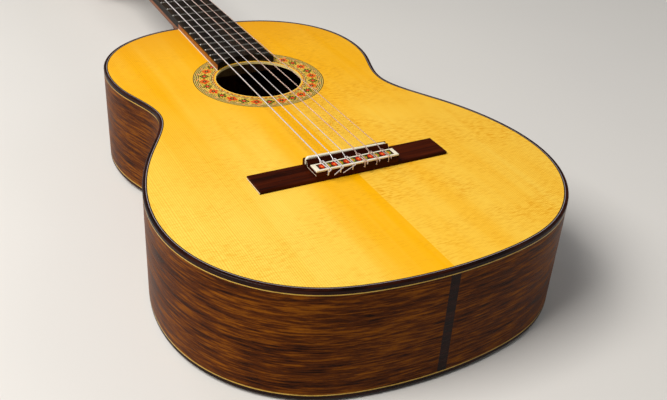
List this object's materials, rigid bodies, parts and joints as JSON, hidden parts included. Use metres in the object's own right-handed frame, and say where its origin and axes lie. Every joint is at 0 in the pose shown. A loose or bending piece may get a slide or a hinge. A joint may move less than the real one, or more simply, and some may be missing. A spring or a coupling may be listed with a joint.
{
  "type": "classical guitar",
  "caption": "Six-string classical guitar with domed rosewood body, spruce top, mosaic rosette, slotted head and turning worm-gear tuning machines.",
  "frame": {"origin": "under the middle of the overall length and on the centre line, on the plane that the arched back rests on", "axes": "+Y along the strings towards the head, +X towards the treble side, +Z out of the soundboard; the guitar lies on its back"},
  "size_m": [0.342, 0.9928, 0.1129],
  "materials": {
    "spruce_bass": "lacquered spruce, golden",
    "spruce_treble": "lacquered spruce, golden",
    "rosette_mosaic": "inlaid wood mosaic under lacquer",
    "rosewood_back": "gloss rosewood",
    "rosewood_ribs": "gloss rosewood",
    "maple_inlay": "gloss maple line",
    "rosewood_binding": "gloss dark rosewood",
    "purfling_lines": "dark and light inlaid lines",
    "cedar": "satin cedar",
    "inner_softwood": "bare softwood",
    "ebony": "oiled ebony",
    "fret_metal": "polished nickel silver",
    "bone": "polished bone",
    "bridge_rosewood": "satin rosewood",
    "tie_mosaic": "inlaid wood mosaic",
    "veneer_rosewood": "gloss rosewood",
    "gilt_plate": "polished",
    "plated_screws": "polished",
    "wound_string": "silver-plated winding on nylon",
    "nylon_string": "clear nylon",
    "roller_white": "off-white roller",
    "gear_brass": "cut brass",
    "worm_steel": "turned steel",
    "button_pearl": "pearled plastic"
  },
  "bodies": {
    "guitar_body": {"soundboard_bass_half": "spruce_bass", "soundboard_treble_half": "spruce_treble", "rosette": "rosette_mosaic", "back_bass_half": "rosewood_back", "back_treble_half": "rosewood_back", "back_centre_strip": "maple_inlay", "rib_bass": "rosewood_ribs", "rib_treble": "rosewood_ribs", "top_binding": "rosewood_binding", "top_purfling": "purfling_lines", "back_binding": "rosewood_binding", "side_purflings": "maple_inlay", "end_graft": "rosewood_binding", "neck": "cedar", "heel_cap": "rosewood_binding", "tail_block": "inner_softwood", "linings": "inner_softwood", "top_braces": "inner_softwood", "back_braces": "inner_softwood", "fingerboard": "ebony", "frets": "fret_metal", "nut": "bone", "saddle": "bone", "bridge": "bridge_rosewood", "tie_block_bone_frame": "bone", "tie_block_mosaic": "tie_mosaic", "head_veneer": "veneer_rosewood", "tuner_plate_bass": "gilt_plate", "tuner_plate_treble": "gilt_plate", "tuner_plate_screws": "plated_screws", "string_6_low_e": "wound_string", "string_5_a": "wound_string", "string_4_d": "wound_string", "string_3_g": "nylon_string", "string_2_b": "nylon_string", "string_1_high_e": "nylon_string"},
    "button_unit_6": {"worm_6": "worm_steel", "button_6": "button_pearl"},
    "roller_unit_6": {"string_roller_6": "roller_white", "gear_6": "gear_brass"},
    "button_unit_5": {"worm_5": "worm_steel", "button_5": "button_pearl"},
    "roller_unit_5": {"string_roller_5": "roller_white", "gear_5": "gear_brass"},
    "button_unit_4": {"worm_4": "worm_steel", "button_4": "button_pearl"},
    "roller_unit_4": {"string_roller_4": "roller_white", "gear_4": "gear_brass"},
    "button_unit_3": {"worm_3": "worm_steel", "button_3": "button_pearl"},
    "roller_unit_3": {"string_roller_3": "roller_white", "gear_3": "gear_brass"},
    "button_unit_2": {"worm_2": "worm_steel", "button_2": "button_pearl"},
    "roller_unit_2": {"string_roller_2": "roller_white", "gear_2": "gear_brass"},
    "button_unit_1": {"worm_1": "worm_steel", "button_1": "button_pearl"},
    "roller_unit_1": {"string_roller_1": "roller_white", "gear_1": "gear_brass"}
  },
  "joints": [
    {"name": "button_turn_6", "type": "hinge", "parent": "guitar_body", "child": "button_unit_6", "pos_m": [-0.0367, 0.36423, 0.08223], "axis": [0, 0.2517, 0.9678], "continuous": true},
    {"name": "button_turn_5", "type": "hinge", "parent": "guitar_body", "child": "button_unit_5", "pos_m": [-0.0367, 0.3981, 0.07341], "axis": [0, 0.2517, 0.9678], "continuous": true},
    {"name": "button_turn_4", "type": "hinge", "parent": "guitar_body", "child": "button_unit_4", "pos_m": [-0.0367, 0.43198, 0.0646], "axis": [0, 0.2517, 0.9678], "continuous": true},
    {"name": "button_turn_3", "type": "hinge", "parent": "guitar_body", "child": "button_unit_3", "pos_m": [0.0367, 0.43198, 0.0646], "axis": [0, 0.2517, 0.9678], "continuous": true},
    {"name": "button_turn_2", "type": "hinge", "parent": "guitar_body", "child": "button_unit_2", "pos_m": [0.0367, 0.3981, 0.07341], "axis": [0, 0.2517, 0.9678], "continuous": true},
    {"name": "button_turn_1", "type": "hinge", "parent": "guitar_body", "child": "button_unit_1", "pos_m": [0.0367, 0.36423, 0.08223], "axis": [0, 0.2517, 0.9678], "continuous": true},
    {"name": "roller_turn_6", "type": "hinge", "parent": "guitar_body", "child": "roller_unit_6", "pos_m": [-0.02, 0.37308, 0.07992], "axis": [1, 0, 0], "continuous": true},
    {"name": "roller_turn_5", "type": "hinge", "parent": "guitar_body", "child": "roller_unit_5", "pos_m": [-0.02, 0.40695, 0.07111], "axis": [1, 0, 0], "continuous": true},
    {"name": "roller_turn_4", "type": "hinge", "parent": "guitar_body", "child": "roller_unit_4", "pos_m": [-0.02, 0.44082, 0.0623], "axis": [1, 0, 0], "continuous": true},
    {"name": "roller_turn_3", "type": "hinge", "parent": "guitar_body", "child": "roller_unit_3", "pos_m": [0.02, 0.44082, 0.0623], "axis": [1, 0, 0], "continuous": true},
    {"name": "roller_turn_2", "type": "hinge", "parent": "guitar_body", "child": "roller_unit_2", "pos_m": [0.02, 0.40695, 0.07111], "axis": [1, 0, 0], "continuous": true},
    {"name": "roller_turn_1", "type": "hinge", "parent": "guitar_body", "child": "roller_unit_1", "pos_m": [0.02, 0.37308, 0.07992], "axis": [1, 0, 0], "continuous": true}
  ],
  "couplings": [
    {"joint": "roller_turn_6", "follows": "button_turn_6", "ratio": 0.071429},
    {"joint": "roller_turn_5", "follows": "button_turn_5", "ratio": 0.071429},
    {"joint": "roller_turn_4", "follows": "button_turn_4", "ratio": 0.071429},
    {"joint": "roller_turn_3", "follows": "button_turn_3", "ratio": 0.071429},
    {"joint": "roller_turn_2", "follows": "button_turn_2", "ratio": 0.071429},
    {"joint": "roller_turn_1", "follows": "button_turn_1", "ratio": 0.071429}
  ]
}
